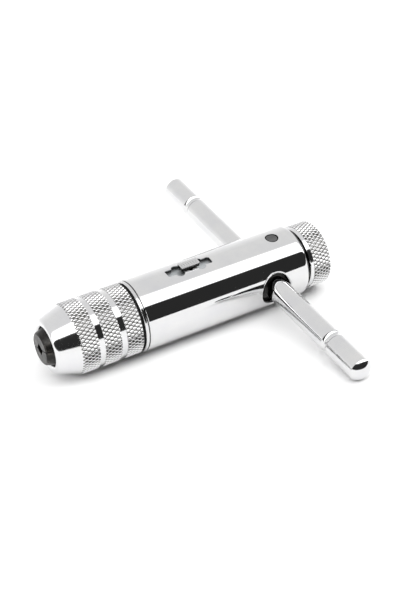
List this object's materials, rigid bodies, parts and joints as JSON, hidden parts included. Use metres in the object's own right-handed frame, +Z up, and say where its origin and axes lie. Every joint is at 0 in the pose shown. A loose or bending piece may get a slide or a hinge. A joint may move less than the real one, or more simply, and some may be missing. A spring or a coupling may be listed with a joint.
{
  "type": "ratcheting tap wrench",
  "caption": "Short ratcheting T-handle tap wrench: two-jaw chuck with knurled nut, tubular body with a sliding direction selector, sliding T-bar and knurled clamp knob.",
  "frame": {"origin": "centre of the closed jaws' front face, on the tool axis", "axes": "+X along the tool axis from the chuck to the clamp knob; +Z up from the table that the tool lies on; -Y towards the end of the T-bar that touches the table. The T-bar is rolled 8.21 degrees about X from Y."},
  "size_m": [0.0847, 0.0978, 0.0213],
  "materials": {
    "chrome_body": "mirror-polished chrome plate",
    "chrome_bush": "polished chrome plate",
    "chrome_bar": "mirror-polished chrome plate",
    "chrome_knob": "polished chrome plate over diamond knurling",
    "chrome_nut": "polished chrome plate, diamond-knurled bands",
    "plain_steel": "turned, oiled",
    "blackened_pin": "black oxide",
    "bearing_steel": "ground",
    "spring_steel": "drawn wire or strip",
    "hardened_steel": "hardened, oiled",
    "brass_pad": "turned",
    "nickel_plate": "dull nickel plate",
    "nickel_button": "bright nickel plate",
    "bright_spring": "bright strip",
    "blackened_spindle": "black oxide",
    "black_rubber": "matte",
    "blackened_jaw": "matte black oxide"
  },
  "bodies": {
    "body": {"body_tube": "chrome_body", "front_bush": "chrome_bush", "handle_block": "plain_steel", "locking_pin": "blackened_pin", "bar_detent_spring": "spring_steel", "pawl_housing": "plain_steel", "right_pawl_pin": "bearing_steel", "left_pawl_pin": "bearing_steel", "right_pawl_spring": "spring_steel", "left_pawl_spring": "spring_steel"},
    "detent_ball": {"bar_detent_ball": "bearing_steel"},
    "handle": {"t_bar": "chrome_bar"},
    "pad": {"clamp_pad": "brass_pad"},
    "knob": {"clamp_knob": "chrome_knob"},
    "selector": {"selector_plate": "nickel_plate", "selector_button": "nickel_button", "selector_spring": "bright_spring"},
    "pawl_right": {"right_pawl": "hardened_steel"},
    "pawl_left": {"left_pawl": "hardened_steel"},
    "ratchet_spindle": {"spindle": "blackened_spindle", "ratchet_gear": "hardened_steel", "thrust_washer": "brass_pad", "snap_ring": "spring_steel", "near_jaw_spring": "spring_steel", "far_jaw_spring": "spring_steel"},
    "seal": {"dust_seal": "black_rubber"},
    "nut": {"chuck_nut": "chrome_nut"},
    "jaw_upper": {"upper_jaw": "blackened_jaw"},
    "jaw_lower": {"lower_jaw": "blackened_jaw"}
  },
  "joints": [
    {"name": "spindle_turn", "type": "hinge", "parent": "body", "child": "ratchet_spindle", "pos_m": [0.045, 0, 0], "axis": [-1, 0, 0], "continuous": true},
    {"name": "nut_advance", "type": "slide", "parent": "ratchet_spindle", "child": "seal", "axis": [-1, 0, 0], "range_m": [0, 0.005]},
    {"name": "nut_turn", "type": "hinge", "parent": "seal", "child": "nut", "pos_m": [0.0242, 0, 0], "axis": [-1, 0, 0], "range_deg": [0, 1200.01]},
    {"name": "upper_jaw_slide", "type": "slide", "parent": "ratchet_spindle", "child": "jaw_upper", "axis": [0, 0.2384, 0.9712], "range_m": [0, 0.00182], "deforming": ["near_jaw_spring", "far_jaw_spring"]},
    {"name": "lower_jaw_slide", "type": "slide", "parent": "ratchet_spindle", "child": "jaw_lower", "axis": [0, -0.2384, -0.9712], "range_m": [0, 0.00182]},
    {"name": "selector_slide", "type": "slide", "parent": "body", "child": "selector", "axis": [1, 0, 0], "range_m": [-0.0032, 0.0032], "deforming": ["selector_spring"]},
    {"name": "right_pawl_lift", "type": "hinge", "parent": "body", "child": "pawl_right", "pos_m": [0.044, 0.00516, -0.00296], "axis": [-1, 0, 0], "range_deg": [0, 13], "stiffness_Nm_per_rad": 0.005, "springref_deg": -20.05, "deforming": ["right_pawl_spring"]},
    {"name": "left_pawl_lift", "type": "hinge", "parent": "body", "child": "pawl_left", "pos_m": [0.044, -0.00412, -0.0043], "axis": [1, 0, 0], "range_deg": [0, 13], "stiffness_Nm_per_rad": 0.005, "springref_deg": -20.05, "deforming": ["left_pawl_spring"]},
    {"name": "bar_slide", "type": "slide", "parent": "body", "child": "handle", "axis": [0, 0.9898, 0.1428], "range_m": [-0.03555, 0.03555]},
    {"name": "detent_ball_press", "type": "slide", "parent": "body", "child": "detent_ball", "axis": [0, 0.1428, -0.9898], "range_m": [0, 0.0003], "stiffness_N_per_m": 200, "springref_m": -0.0005, "deforming": ["bar_detent_spring"]},
    {"name": "pad_slide", "type": "slide", "parent": "body", "child": "pad", "axis": [1, 0, 0], "range_m": [0, 0.002]},
    {"name": "knob_turn", "type": "hinge", "parent": "pad", "child": "knob", "pos_m": [0.08, 0, 0], "axis": [1, 0, 0], "range_deg": [0, 720.01]}
  ],
  "couplings": [
    {"joint": "nut_turn", "follows": "nut_advance", "rad_per_m": 4188.8},
    {"joint": "upper_jaw_slide", "follows": "nut_advance", "ratio": 0.36397},
    {"joint": "lower_jaw_slide", "follows": "nut_advance", "ratio": 0.36397},
    {"joint": "knob_turn", "follows": "pad_slide", "rad_per_m": 6283.2}
  ]
}
